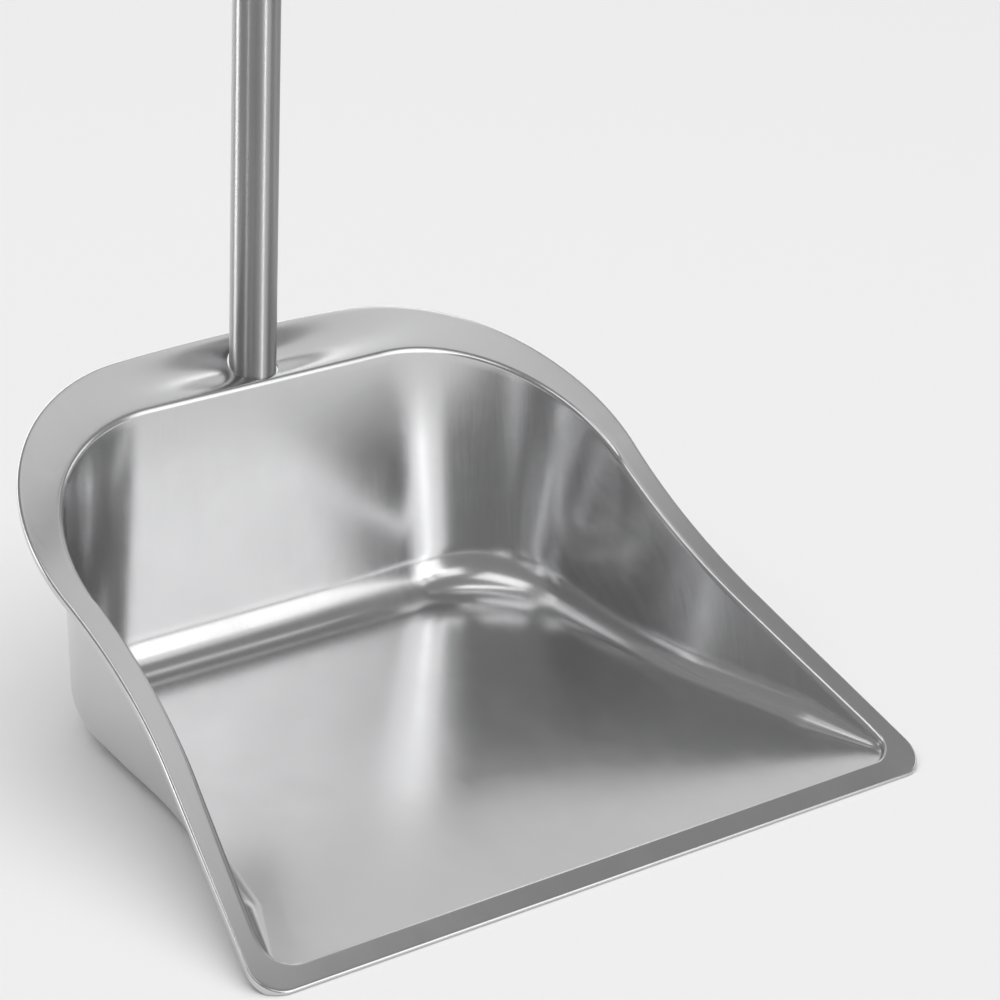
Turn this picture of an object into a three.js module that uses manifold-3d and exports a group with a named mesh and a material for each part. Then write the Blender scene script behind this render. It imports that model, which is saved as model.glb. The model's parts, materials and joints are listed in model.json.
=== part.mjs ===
// Long-handled dust pan: a pressed stainless steel scoop with a round tube handle that stands
// upright behind it. The handle comes apart in three screwed sections and hangs by a wire loop.
// Millimetres, +Z up, +X to the right, the mouth facing -Y. The origin is on the floor, in the
// middle of the footprint.
import * as THREE from 'three';
import { mergeVertices } from 'three/addons/utils/BufferGeometryUtils.js';
import Module from 'manifold-3d';

const wasm = await Module();
wasm.setup();

// ---- Overall sizes ----
const mouthWidth = 310; // outside width across the front lip, before the corners are rounded
const rearWidth = 290.4; // outside width at the back, before the corners are rounded
const panDepth = 264; // front lip to the back of the rim
const overallHeight = 850; // floor to the top of the handle

// ---- Clearances ----
const fit = 0.3; // between pieces that touch
const tubeToWall = 1.1; // between the handle and the pan's back wall at the rim
const holeGap = 0.75; // round the handle in the rim's hole

// ---- Pan ----
const sheet = 0.8; // sheet thickness
const rimSlope = 0.46; // rise of the rim's plane for each unit of depth
const lipHeight = 1; // height of the rim's plane at the front edge
const hemDepth = 3; // how far the rim's outer edge is turned down
const hemBend = 1; // outside radius of that edge
const ridgeBend = 3; // radius where the rim turns down into the walls
const footBend = 11.7; // radius where the walls turn into the floor
const footCornerBend = 20; // the same in the middle of the rear corners
const footCornerFade = 45; // how far from there that radius has mostly faded into the other
const wallFoot = 1; // how far the floor starts behind the ridge at the mouth
const rimFront = 8; // width of the rim at the lip
const rimSide = 10.6; // width of the rim at the front of the sides
const rimRearSide = 17.5; // width of the rim at the back of the sides
const rimBack = 27.1; // width of the rim behind the back wall
const sideLean = 15.7; // how far the side walls come in from the ridge to the floor
const backLean = 7.2; // the same for the back wall
const rearDrop = 6.8; // how far the rim's rear corners lie in front of its middle
const crownHalf = 28; // where the rear edge starts to run straight across
const flankGap = 1; // straight left between the waist's round and the rear corner's
const ridgeShare = 0.42; // most of the wall that the ridge's bend may take
const footShare = { least: 0.15, most: 0.55 }; // least and most that the foot's bend may take

// ---- Plan outlines: radii at the front corner, the waist and the rear corner ----
const outerRound = { front: 11, waist: 240, rear: 84.4, waistIn: 20.5 };
const ridgeRound = { front: 9.9, waist: 270, rear: 67.3, waistIn: 16.7 };
const footRound = { front: 8.9, waist: 300, rear: 47.6, waistIn: 10.3 };

// ---- Handle ----
const tubeDiameter = 19;
const tubeWall = 0.8;
const tubeFoot = 22; // height of the tube's lower end
const plugLength = 18; // how deep the plugs and inserts sit in the tube
const plugFlange = 2; // thickness of their flanges
const threadRadius = 4; // thread between the handle sections
const threadLength = 12;
const ferruleHeight = 6;
const ferruleWall = 1.6;
const gripLength = 105;
const gripWall = 2.7;
const gripEdge = 1.6; // rounding at the grip's lower end
const capHeight = 16;
const capDome = 5; // rounding on top of the end cap

// ---- Foot fixing ----
const bracketSheet = 1.5;
const bracketWidth = 34;
const bracketTab = 28; // height of the tab that is welded to the back wall
const screwRadius = 2.5;
const screwLength = 16;
const screwHead = 3;
const screwHeadRadius = 4.75;
const screwSocket = 3; // across the flats of the hexagon socket
const screwSocketDepth = 1.8;
const screwHeadFlat = 2.9; // radius of the flat on top of the head
const screwHeadShoulder = { radius: 4.3, height: 1.05 }; // where the head's dome bends most
const screwHeadRim = 0.6; // straight part of the head, against the washer
const washerThickness = 1;
const washerRadius = 6;
const lockWasherThickness = 1.2;
const lockWasherWidth = 1.9;
const lockWasherSlit = 1.2;
const saddleSheet = 1.2;
const saddleHeight = 20;
const saddleMiddle = 74; // height of the saddle's middle
const saddleFoot = 11; // width of each foot of the saddle

// ---- Hanging loop ----
const wireRadius = 1.25;
const loopReach = 48; // pivot to the far end of the wire's centre line
const loopSideGap = 0.8; // between the wire and the end cap
const loopPin = 5.5; // length of each end inside the cap
const loopCorner = 2; // radius of the bend from end to leg, all of it outside the cap
const pivotAboveCapFoot = 6;

// ---- Fineness of the faceted surfaces ----
const fine = { front: 2, corner: 5, side: 4, waist: 5, flank: 2, rear: 9, back: 3 };
const hemFacets = 3;
const ridgeFacets = 4;
const wallFacets = 2;
const footFacets = 5;
const roundFacets = 28;
const edgeFacets = 5; // round the edges of the grip and the end cap
const wireFacets = 4; // half the number of the wire's sides
const wireSteps = 64; // along the loop
const loopBendFacets = 4;
const loopArcFacets = 14;

// ---- Places worked out from the sizes ----
const tubeRadius = tubeDiameter / 2;
const tubeBore = tubeRadius - tubeWall;
const gripRadius = tubeRadius + fit + gripWall;
const ridgeRearY = panDepth - rimBack;
const footRearY = ridgeRearY - backLean;
const handleY = ridgeRearY + sheet + tubeToWall + tubeRadius;
const jointHeight = 2 * plugFlange + 3 * fit;
const tubeTop = overallHeight - capHeight - fit;
const sectionLength = (tubeTop - tubeFoot - 2 * jointHeight) / 3;
const floorFrontY = rimFront + wallFoot;
const floorRearY = footRearY - footBend;
const floorFall = (rimHeight(rimFront) - sheet) / (floorRearY - rimFront);
const wallFace = backLean / (rimHeight(ridgeRearY) - floorHeight(footRearY));

// Height of the rim's plane, and of the top of the floor, at a distance behind the lip.
function rimHeight(y) {
  return lipHeight + rimSlope * y;
}

function floorHeight(y) {
  return sheet + floorFall * (floorRearY - y);
}

// How far behind the lip the back wall's outer face lies at a height.
function backFace(z) {
  return footRearY + wallFace * (z - floorHeight(footRearY)) + sheet;
}

// ---- Materials ----
const brushed = new THREE.MeshStandardMaterial({ color: 0xbfc1c3, roughness: 0.32, metalness: 1 });
const polished = new THREE.MeshStandardMaterial({ color: 0xd8dadc, roughness: 0.1, metalness: 1 });
const plated = new THREE.MeshStandardMaterial({ color: 0xa9acb0, roughness: 0.4, metalness: 1 });
const nylon = new THREE.MeshStandardMaterial({ color: 0xd9d7d0, roughness: 0.55, metalness: 0 });
const plastic = new THREE.MeshStandardMaterial({ color: 0x2b2d2f, roughness: 0.45, metalness: 0 });
const rubber = new THREE.MeshStandardMaterial({ color: 0x232527, roughness: 0.8, metalness: 0 });

// ---- Solids ----
function toSolid(geometry) {
  const bare = geometry.clone();
  bare.deleteAttribute('normal');
  bare.deleteAttribute('uv');
  const merged = mergeVertices(bare, 1e-4);
  return new wasm.Manifold(new wasm.Mesh({
    numProp: 3,
    vertProperties: new Float32Array(merged.attributes.position.array),
    triVerts: new Uint32Array(merged.index.array),
  }));
}

function toGeometry(solid) {
  const mesh = solid.getMesh();
  const geometry = new THREE.BufferGeometry();
  geometry.setAttribute('position', new THREE.BufferAttribute(mesh.vertProperties, 3));
  geometry.setIndex(new THREE.BufferAttribute(mesh.triVerts, 1));
  return geometry;
}

function cut(geometry, ...tools) {
  let solid = toSolid(geometry);
  for (const tool of tools) {
    solid = solid.subtract(toSolid(tool));
  }
  return toGeometry(solid);
}

// A round bar along Z between two heights.
function bar(radius, low, high, sides = roundFacets) {
  const geometry = new THREE.CylinderGeometry(radius, radius, high - low, sides);
  geometry.rotateX(Math.PI / 2);
  geometry.translate(0, 0, (low + high) / 2);
  return geometry;
}

// A turned piece from its half profile, a list of [radius, height].
function turned(profile, sides = roundFacets) {
  const points = profile.map(([radius, height]) => new THREE.Vector2(radius, height));
  const geometry = new THREE.LatheGeometry(points, sides);
  geometry.rotateX(Math.PI / 2);
  return geometry;
}

function ring(inner, outer, low, high) {
  return turned([[inner, low], [outer, low], [outer, high], [inner, high], [inner, low]]);
}

function piece(name, geometry, material) {
  const mesh = new THREE.Mesh(geometry, material);
  mesh.name = name;
  return mesh;
}

// A point on the round between two straight lines that meet in a corner: reach is the distance
// from the corner to where the round starts, and share runs from 0 to 1 along it.
function onBend(corner, towardsFirst, towardsLast, reach, share) {
  const turn = Math.PI - towardsFirst.angleTo(towardsLast);
  const quarter = Math.max(turn / 4, 1e-4);
  const t = (1 + Math.tan((2 * share - 1) * quarter) / Math.tan(quarter)) / 2;
  const first = (1 - t) ** 2;
  const middle = 2 * t * (1 - t) * Math.cos(turn / 2);
  const last = t ** 2;
  return new THREE.Vector3()
    .addScaledVector(corner, middle)
    .addScaledVector(corner.clone().addScaledVector(towardsFirst, reach), first)
    .addScaledVector(corner.clone().addScaledVector(towardsLast, reach), last)
    .divideScalar(first + middle + last);
}

function bendReach(towardsFirst, towardsLast, radius) {
  return radius / Math.tan(towardsFirst.angleTo(towardsLast) / 2);
}

function direction(from, to) {
  return to.clone().sub(from).normalize();
}

// ---- Pan shell ----
// Half of a plan outline, from the middle of the front round the right side to the middle of the
// back. Every outline has the same number of stations, so their stations pair up.
function halfOutline({ frontY, frontHalf, rearY, rearHalf, middleY, round }) {
  const at = (x, y) => new THREE.Vector3(x, y, 0);
  const front = at(0, frontY);
  const corner = at(frontHalf, frontY);
  const waist = at((frontHalf + rearHalf) / 2 - round.waistIn, (frontY + rearY) / 2);
  const rear = at(rearHalf, rearY);
  const crown = at(crownHalf, middleY);
  const bends = [
    { before: front, at: corner, after: waist, radius: round.front, count: fine.corner },
    { before: corner, at: waist, after: rear, radius: round.waist, count: fine.waist },
    { before: waist, at: rear, after: crown, radius: round.rear, count: fine.rear },
  ];
  for (const bend of bends) {
    bend.first = direction(bend.at, bend.before);
    bend.last = direction(bend.at, bend.after);
    bend.reach = bendReach(bend.first, bend.last, bend.radius);
  }
  // The waist's round takes at most the straight that the rear corner leaves.
  const flank = waist.distanceTo(rear) - bends[2].reach;
  bends[1].reach = Math.min(bends[1].reach, flank - flankGap);
  const stations = [];
  const run = (from, to, count) => {
    for (let i = 0; i < count; i += 1) {
      stations.push(from.clone().lerp(to, i / count));
    }
  };
  const end = (bend, share) => onBend(bend.at, bend.first, bend.last, bend.reach, share);
  const straights = [fine.front, fine.side, fine.flank];
  let from = front;
  bends.forEach((bend, index) => {
    run(from, end(bend, 0), straights[index]);
    for (let i = 0; i < bend.count; i += 1) {
      stations.push(end(bend, i / bend.count));
    }
    from = end(bend, 1);
  });
  const back = new THREE.QuadraticBezierCurve3(from, crown, at(0, middleY));
  stations.push(...back.getPoints(fine.back));
  return stations;
}

function wholeOutline(sizes) {
  const right = halfOutline(sizes);
  const left = right.slice(1, -1).reverse().map((p) => new THREE.Vector3(-p.x, p.y, p.z));
  return [...right, ...left];
}

const outerOutline = wholeOutline({
  frontY: 0,
  frontHalf: mouthWidth / 2,
  rearY: panDepth - rearDrop,
  rearHalf: rearWidth / 2,
  middleY: panDepth,
  round: outerRound,
});
const ridgeOutline = wholeOutline({
  frontY: rimFront,
  frontHalf: mouthWidth / 2 - rimSide,
  rearY: ridgeRearY,
  rearHalf: rearWidth / 2 - rimRearSide,
  middleY: ridgeRearY,
  round: ridgeRound,
});
const footOutline = wholeOutline({
  frontY: floorFrontY,
  frontHalf: mouthWidth / 2 - rimSide - wallFoot,
  rearY: footRearY,
  rearHalf: rearWidth / 2 - rimRearSide - sideLean,
  middleY: footRearY,
  round: footRound,
});

// How near a station of the foot's outline is to the middle of its rear corner, 1 down to 0.
const cornerMiddle = footOutline[
  fine.front + fine.corner + fine.side + fine.waist + fine.flank + Math.floor(fine.rear / 2)
];

function cornerShare(point) {
  const away = Math.hypot(Math.abs(point.x) - cornerMiddle.x, point.y - cornerMiddle.y);
  return Math.exp(-((away / footCornerFade) ** 2));
}

// One cross-section of the sheet's upper face at a station: up the turned-down edge, over the
// rim, down the wall and into the floor.
function section(index) {
  const count = footOutline.length;
  const outer = outerOutline[index].clone();
  const ridge = ridgeOutline[index].clone();
  const foot = footOutline[index].clone();
  outer.z = rimHeight(outer.y);
  ridge.z = rimHeight(ridge.y);
  foot.z = floorHeight(foot.y);
  const along = direction(footOutline[(index + count - 1) % count], footOutline[(index + 1) % count]);
  const inward = new THREE.Vector3(-along.y, along.x, -floorFall * along.x).normalize();
  const hemFoot = outer.clone();
  hemFoot.z = Math.max(0, outer.z - hemDepth);
  const down = new THREE.Vector3(0, 0, -1);
  const wall = ridge.distanceTo(foot);
  const footRadius = footBend + (footCornerBend - footBend) * cornerShare(foot);
  const bends = [
    { at: outer, first: down, last: direction(outer, ridge), radius: hemBend, facets: hemFacets },
    { at: ridge, first: direction(ridge, outer), last: direction(ridge, foot), radius: ridgeBend,
      facets: ridgeFacets, most: ridgeShare * wall },
    { at: foot, first: direction(foot, ridge), last: inward, radius: footRadius,
      facets: footFacets, least: footShare.least * wall, most: footShare.most * wall },
  ];
  const points = [hemFoot];
  for (const bend of bends) {
    const { least = 0, most = Infinity } = bend;
    const reach = Math.min(Math.max(bendReach(bend.first, bend.last, bend.radius), least), most);
    if (bend.at === foot) {
      const from = points[points.length - 1];
      const to = onBend(foot, bend.first, bend.last, reach, 0);
      for (let i = 1; i < wallFacets; i += 1) {
        points.push(from.clone().lerp(to, i / wallFacets));
      }
    }
    for (let i = 0; i <= bend.facets; i += 1) {
      points.push(onBend(bend.at, bend.first, bend.last, reach, i / bend.facets));
    }
  }
  return points;
}

function panShell() {
  const grid = outerOutline.map((_, index) => section(index));
  const stations = grid.length;
  const rows = grid[0].length;
  const floorNormal = new THREE.Vector3(0, floorFall, 1).normalize();
  const under = grid.map((points, j) => points.map((point, i) => {
    if (i === rows - 1) {
      return point.clone().addScaledVector(floorNormal, -sheet);
    }
    const before = grid[(j + stations - 1) % stations][i];
    const after = grid[(j + 1) % stations][i];
    const along = direction(before, point).add(direction(point, after)).normalize();
    const inner = along.clone().cross(direction(point, points[i + 1])).normalize();
    const outer = i ? along.clone().cross(direction(points[i - 1], point)).normalize() : inner;
    const normal = inner.clone().add(outer).normalize();
    return point.clone().addScaledVector(normal, -sheet / normal.dot(inner));
  }));
  const middle = new THREE.Vector3(0, (floorFrontY + floorRearY) / 2, 0);
  middle.z = floorHeight(middle.y);
  const faces = [grid.flat(), [middle], under.flat(), [middle.clone().addScaledVector(floorNormal, -sheet)]];
  const positions = faces.flat().flatMap((point) => point.toArray());
  const topMiddle = stations * rows;
  const underStart = topMiddle + 1;
  const underMiddle = underStart + topMiddle;
  const index = [];
  for (let j = 0; j < stations; j += 1) {
    const here = j * rows;
    const next = ((j + 1) % stations) * rows;
    for (let i = 0; i < rows - 1; i += 1) {
      const quad = [here + i, next + i, next + i + 1, here + i + 1];
      const [a, b, c, d] = quad;
      index.push(a, b, c, a, c, d);
      const [e, f, g, h] = quad.map((vertex) => vertex + underStart);
      index.push(e, g, f, e, h, g);
    }
    index.push(here + rows - 1, next + rows - 1, topMiddle);
    index.push(underStart + next + rows - 1, underStart + here + rows - 1, underMiddle);
    index.push(here, underStart + here, underStart + next);
    index.push(here, underStart + next, next);
  }
  const geometry = new THREE.BufferGeometry();
  geometry.setAttribute('position', new THREE.Float32BufferAttribute(positions, 3));
  geometry.setIndex(index);
  const rimAtHandle = rimHeight(handleY);
  const drillReach = 2 * tubeDiameter;
  const hole = bar(tubeRadius + holeGap, rimAtHandle - drillReach, rimAtHandle + drillReach);
  hole.translate(0, handleY, 0);
  return cut(geometry, hole);
}

// ---- Foot fixing: everything below is measured from the handle's own axis ----
const plugSeat = tubeFoot - fit - plugFlange; // underside of the foot plug
const shelfTop = plugSeat - fit;
const shelfFoot = shelfTop - bracketSheet;

// An L-shaped bracket: a tab along the back wall and a shelf under the tube.
function footBracket() {
  const tabFace = (z) => backFace(z) + fit - handleY;
  const tabTop = shelfTop + bracketTab;
  const shape = new THREE.Shape([
    new THREE.Vector2(tabFace(shelfFoot) + bracketSheet, shelfFoot),
    new THREE.Vector2(tubeRadius, shelfFoot),
    new THREE.Vector2(tubeRadius, shelfTop),
    new THREE.Vector2(tabFace(shelfTop) + 2 * bracketSheet, shelfTop),
    new THREE.Vector2(tabFace(shelfTop + bracketSheet) + bracketSheet, shelfTop + bracketSheet),
    new THREE.Vector2(tabFace(tabTop) + bracketSheet, tabTop),
    new THREE.Vector2(tabFace(tabTop), tabTop),
    new THREE.Vector2(tabFace(shelfFoot + bracketSheet), shelfFoot + bracketSheet),
  ]);
  const geometry = new THREE.ExtrudeGeometry(shape, { depth: bracketWidth, bevelEnabled: false });
  geometry.rotateY(Math.PI / 2);
  geometry.rotateX(Math.PI / 2);
  geometry.translate(-bracketWidth / 2, 0, 0);
  return cut(geometry, bar(screwRadius + fit, shelfFoot - 1, shelfTop + 1));
}

// A strap bent round the tube, with a foot on each side that follows the back wall.
function tubeSaddle() {
  const inner = tubeRadius + fit;
  const outer = inner + saddleSheet;
  const footFront = backFace(saddleMiddle) + fit - handleY;
  const footBack = footFront + saddleSheet;
  const footEnd = outer + saddleFoot;
  const shape = new THREE.Shape();
  shape.moveTo(footEnd, footFront);
  shape.lineTo(footEnd, footBack);
  shape.lineTo(outer, footBack);
  shape.lineTo(outer, 0);
  shape.absarc(0, 0, outer, 0, Math.PI);
  shape.lineTo(-outer, footBack);
  shape.lineTo(-footEnd, footBack);
  shape.lineTo(-footEnd, footFront);
  shape.lineTo(-inner, footFront);
  shape.lineTo(-inner, 0);
  shape.absarc(0, 0, inner, Math.PI, 0, true);
  shape.lineTo(inner, footFront);
  const geometry = new THREE.ExtrudeGeometry(shape, {
    depth: saddleHeight,
    bevelEnabled: false,
    curveSegments: roundFacets / 4,
  });
  geometry.translate(0, 0, -saddleHeight / 2);
  const position = geometry.attributes.position;
  for (let i = 0; i < position.count; i += 1) {
    if (position.getY(i) < footBack + fit) {
      position.setY(i, position.getY(i) + wallFace * position.getZ(i));
    }
  }
  return geometry;
}

function footPlug() {
  const bore = screwRadius + fit;
  return turned([
    [bore, plugSeat],
    [tubeRadius, plugSeat],
    [tubeRadius, plugSeat + plugFlange],
    [tubeBore - fit, plugSeat + plugFlange],
    [tubeBore - fit, plugSeat + plugFlange + plugLength],
    [bore, plugSeat + plugFlange + plugLength],
    [bore, plugSeat],
  ]);
}

const washerTop = shelfFoot - fit;
const lockWasherTop = washerTop - washerThickness - fit;
const headTop = lockWasherTop - lockWasherThickness - fit;

function lockWasher() {
  const inner = screwRadius + fit;
  const outer = inner + lockWasherWidth;
  const half = lockWasherSlit / 2 / inner;
  const shape = new THREE.Shape();
  shape.absarc(0, 0, outer, half, 2 * Math.PI - half);
  shape.absarc(0, 0, inner, 2 * Math.PI - half, half, true);
  const geometry = new THREE.ExtrudeGeometry(shape, {
    depth: lockWasherThickness,
    bevelEnabled: false,
    curveSegments: roundFacets / 2,
  });
  geometry.translate(0, 0, lockWasherTop - lockWasherThickness);
  return geometry;
}

// A button-head screw that points up, with a hexagon socket in its head.
function footScrew() {
  const headFoot = headTop - screwHead;
  const body = turned([
    [0, headFoot],
    [screwHeadFlat, headFoot],
    [screwHeadShoulder.radius, headFoot + screwHeadShoulder.height],
    [screwHeadRadius, headTop - screwHeadRim],
    [screwHeadRadius, headTop],
    [screwRadius, headTop],
    [screwRadius, headTop + screwLength - screwRadius / 2],
    [screwRadius / 2, headTop + screwLength],
    [0, headTop + screwLength],
  ]);
  const socketRadius = screwSocket / Math.sqrt(3);
  return cut(body, bar(socketRadius, headFoot - 1, headFoot + screwSocketDepth, 6));
}

// ---- Handle sections ----
function tubeSection(foot) {
  return ring(tubeBore, tubeRadius, foot, foot + sectionLength);
}

// A threaded socket in the top of one tube, and the stud in the foot of the next.
function jointSocket(tubeEnd) {
  const bore = threadRadius + fit;
  const flangeFoot = tubeEnd + fit;
  return turned([
    [bore, flangeFoot - plugLength],
    [tubeBore - fit, flangeFoot - plugLength],
    [tubeBore - fit, flangeFoot],
    [tubeRadius, flangeFoot],
    [tubeRadius, flangeFoot + plugFlange],
    [bore, flangeFoot + plugFlange],
    [bore, flangeFoot - plugLength],
  ]);
}

function jointStud(tubeEnd) {
  const flangeFoot = tubeEnd + fit + plugFlange + fit;
  const flangeTop = flangeFoot + plugFlange;
  return turned([
    [0, flangeFoot - threadLength],
    [threadRadius - 1, flangeFoot - threadLength],
    [threadRadius, flangeFoot - threadLength + 1],
    [threadRadius, flangeFoot],
    [tubeRadius, flangeFoot],
    [tubeRadius, flangeTop],
    [tubeBore - fit, flangeTop],
    [tubeBore - fit, flangeTop + plugLength],
    [0, flangeTop + plugLength],
  ]);
}

// ---- Grip, end cap and hanging loop ----
function gripSleeve() {
  const inner = tubeRadius + fit;
  const foot = tubeTop - gripLength;
  const shoulder = gripRadius - gripEdge;
  const profile = [[inner, foot], [shoulder, foot]];
  for (let i = 1; i <= edgeFacets; i += 1) {
    const angle = (i / edgeFacets) * (Math.PI / 2);
    profile.push([shoulder + gripEdge * Math.sin(angle), foot + gripEdge * (1 - Math.cos(angle))]);
  }
  profile.push([gripRadius, tubeTop], [inner, tubeTop], [inner, foot]);
  return turned(profile);
}

const capFoot = tubeTop + fit;
const pivotHeight = capFoot + pivotAboveCapFoot;
const legX = gripRadius + loopSideGap + wireRadius;

function endCap() {
  const plugRadius = tubeBore - fit;
  const profile = [
    [0, capFoot - plugLength],
    [plugRadius, capFoot - plugLength],
    [plugRadius, capFoot],
    [gripRadius, capFoot],
  ];
  for (let i = 0; i <= edgeFacets; i += 1) {
    const angle = (i / edgeFacets) * (Math.PI / 2);
    const shoulder = gripRadius - capDome * (1 - Math.cos(angle));
    profile.push([shoulder, capFoot + capHeight - capDome + capDome * Math.sin(angle)]);
  }
  profile.push([0, capFoot + capHeight]);
  const holes = [-1, 1].map((side) => {
    const hole = bar(wireRadius + fit, gripRadius - loopPin - fit, gripRadius + 1, 12);
    hole.rotateY(side * (Math.PI / 2));
    hole.translate(0, 0, pivotHeight);
    return hole;
  });
  return cut(turned(profile), ...holes);
}

// The wire's centre line when it hangs straight down from its pivot.
function loopLine() {
  const legEnd = loopReach - legX;
  const right = [
    new THREE.Vector3(gripRadius - loopPin, 0, 0),
    new THREE.Vector3(gripRadius - loopPin / 2, 0, 0),
  ];
  for (let i = 0; i <= loopBendFacets; i += 1) {
    const angle = (i / loopBendFacets) * (Math.PI / 2);
    const x = legX - loopCorner * (1 - Math.sin(angle));
    right.push(new THREE.Vector3(x, 0, -loopCorner * (1 - Math.cos(angle))));
  }
  right.push(new THREE.Vector3(legX, 0, -(loopCorner + legEnd) / 2));
  for (let i = 0; i < loopArcFacets / 2; i += 1) {
    const angle = (i / loopArcFacets) * Math.PI;
    right.push(new THREE.Vector3(legX * Math.cos(angle), 0, -legEnd - legX * Math.sin(angle)));
  }
  const left = right.map((p) => new THREE.Vector3(-p.x, 0, p.z)).reverse();
  return new THREE.CatmullRomCurve3([...right, new THREE.Vector3(0, 0, -loopReach), ...left]);
}

function hangLoop() {
  const wire = new THREE.Shape();
  wire.absarc(0, 0, wireRadius, 0, 2 * Math.PI);
  return new THREE.ExtrudeGeometry(wire, {
    steps: wireSteps,
    extrudePath: loopLine(),
    curveSegments: wireFacets,
  });
}

// The loop leans on the front of the grip, the wire just clear of it.
const loopLean = Math.asin((gripRadius + fit + wireRadius) / loopReach);

// ---- Assembly ----
const dustPan = new THREE.Group();
const fromLip = new THREE.Group(); // measured from the middle of the front lip
fromLip.position.y = -panDepth / 2;
dustPan.add(fromLip);
fromLip.add(piece('pan_shell', panShell(), brushed));

const handle = new THREE.Group(); // measured from the handle's axis on the floor
handle.position.y = handleY;
fromLip.add(handle);

const washerBore = screwRadius + fit;
const saddle = piece('tube_saddle', tubeSaddle(), brushed);
saddle.position.z = saddleMiddle;
handle.add(
  piece('foot_bracket', footBracket(), brushed),
  saddle,
  piece('foot_plug', footPlug(), nylon),
  piece('foot_washer', ring(washerBore, washerRadius, washerTop - washerThickness, washerTop), plated),
  piece('foot_lock_washer', lockWasher(), plated),
  piece('foot_screw', footScrew(), plated),
);

['lower', 'middle', 'upper'].forEach((name, index) => {
  const foot = tubeFoot + index * (sectionLength + jointHeight);
  handle.add(piece(`${name}_tube`, tubeSection(foot), polished));
});
['lower', 'upper'].forEach((name, index) => {
  const tubeEnd = tubeFoot + sectionLength + index * (sectionLength + jointHeight);
  handle.add(
    piece(`${name}_joint_socket`, jointSocket(tubeEnd), plated),
    piece(`${name}_joint_stud`, jointStud(tubeEnd), plated),
  );
});

const ferruleTop = tubeTop - gripLength - fit;
const ferruleBore = tubeRadius + fit;
const ferrule = ring(ferruleBore, ferruleBore + ferruleWall, ferruleTop - ferruleHeight, ferruleTop);
const loop = piece('hang_loop', hangLoop(), polished);
loop.position.z = pivotHeight;
loop.rotation.x = -loopLean;
handle.add(
  piece('grip_ferrule', ferrule, polished),
  piece('grip_sleeve', gripSleeve(), rubber),
  piece('end_cap', endCap(), plastic),
  loop,
);

export default dustPan;
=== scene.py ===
# Looks for the long-handled dust pan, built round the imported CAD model. Sizes are in millimetres,
# measured as the part measures them, and are turned into metres when a mesh is made.
import json
import math

import bpy
import numpy as np
from mathutils import Matrix, Vector


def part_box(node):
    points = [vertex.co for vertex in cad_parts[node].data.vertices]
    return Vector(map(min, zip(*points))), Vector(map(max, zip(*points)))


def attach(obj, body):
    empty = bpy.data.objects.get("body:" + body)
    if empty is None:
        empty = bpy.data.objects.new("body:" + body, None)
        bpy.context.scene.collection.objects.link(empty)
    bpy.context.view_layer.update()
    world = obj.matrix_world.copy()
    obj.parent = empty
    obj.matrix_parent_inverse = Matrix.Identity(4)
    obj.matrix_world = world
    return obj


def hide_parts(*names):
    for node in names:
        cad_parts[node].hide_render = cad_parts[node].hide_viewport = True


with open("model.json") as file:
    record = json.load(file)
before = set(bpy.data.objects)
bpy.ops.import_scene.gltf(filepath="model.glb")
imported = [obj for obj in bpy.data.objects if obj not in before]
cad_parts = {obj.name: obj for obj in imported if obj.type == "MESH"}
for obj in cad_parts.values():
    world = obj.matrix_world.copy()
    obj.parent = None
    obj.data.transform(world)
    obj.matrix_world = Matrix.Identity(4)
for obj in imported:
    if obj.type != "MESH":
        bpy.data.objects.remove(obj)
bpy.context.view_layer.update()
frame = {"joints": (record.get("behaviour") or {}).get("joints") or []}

MM = 0.001


# ---------------------------------------------------------------- places taken from the CAD model
def box_mm(node):
    low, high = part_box(node)
    return np.array(low) / MM, np.array(high) / MM


pan_low, pan_high = box_mm("pan_shell")
tube_low, tube_high = box_mm("lower_tube")
pan_depth = pan_high[1] - pan_low[1]
lip_y = pan_low[1]  # the front lip, in the frame's Y
handle_y = (tube_low[1] + tube_high[1]) / 2
tube_radius = (tube_high[0] - tube_low[0]) / 2

# ---------------------------------------------------------------- sizes shared with the CAD model
fit = 0.3
sheet = 0.8
rim_slope = 0.46
lip_height = 1.0
hem_depth = 3.0
hem_bend = 1.0
ridge_bend = 3.0
ridge_share = 0.42  # most of the wall that the ridge's bend may take
foot_bend = 11.7
foot_corner_bend = 20.0
foot_corner_fade = 45.0
foot_share = (0.15, 0.55)  # least and most of the wall that the foot's bend may take
wall_foot = 1.0
flank_gap = 1.0
rim_front = 8.0
mouth_half = 155.0
rear_half = 145.2
rim_side = 10.6
rim_rear_side = 17.5
rim_back = 27.1
side_lean = 15.7
back_lean = 7.2
rear_drop = 6.8
crown_half = 28.0
hole_gap = 0.75
outer_round = {"front": 11, "waist": 240, "rear": 84.4, "waist_in": 20.5}
ridge_round = {"front": 9.9, "waist": 270, "rear": 67.3, "waist_in": 16.7}
foot_round = {"front": 8.9, "waist": 300, "rear": 47.6, "waist_in": 10.3}
tube_wall = 0.8
plug_flange = 2.0
thread_length = 12.0
thread_radius = 4.0
socket_bore = thread_radius + fit
cap_height = 16.0
cap_dome = 5.0
wire_radius = 1.25
loop_reach = 48.0
loop_pin = 5.5
loop_side_gap = 0.8
loop_corner = 2.0
bracket_sheet = 1.5
saddle_sheet = 1.2
screw_radius = 2.5
screw_hole = screw_radius + fit
screw_head = 3.0
screw_socket = 3.0
screw_socket_depth = 1.8
lock_washer_slit = 1.2

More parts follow.
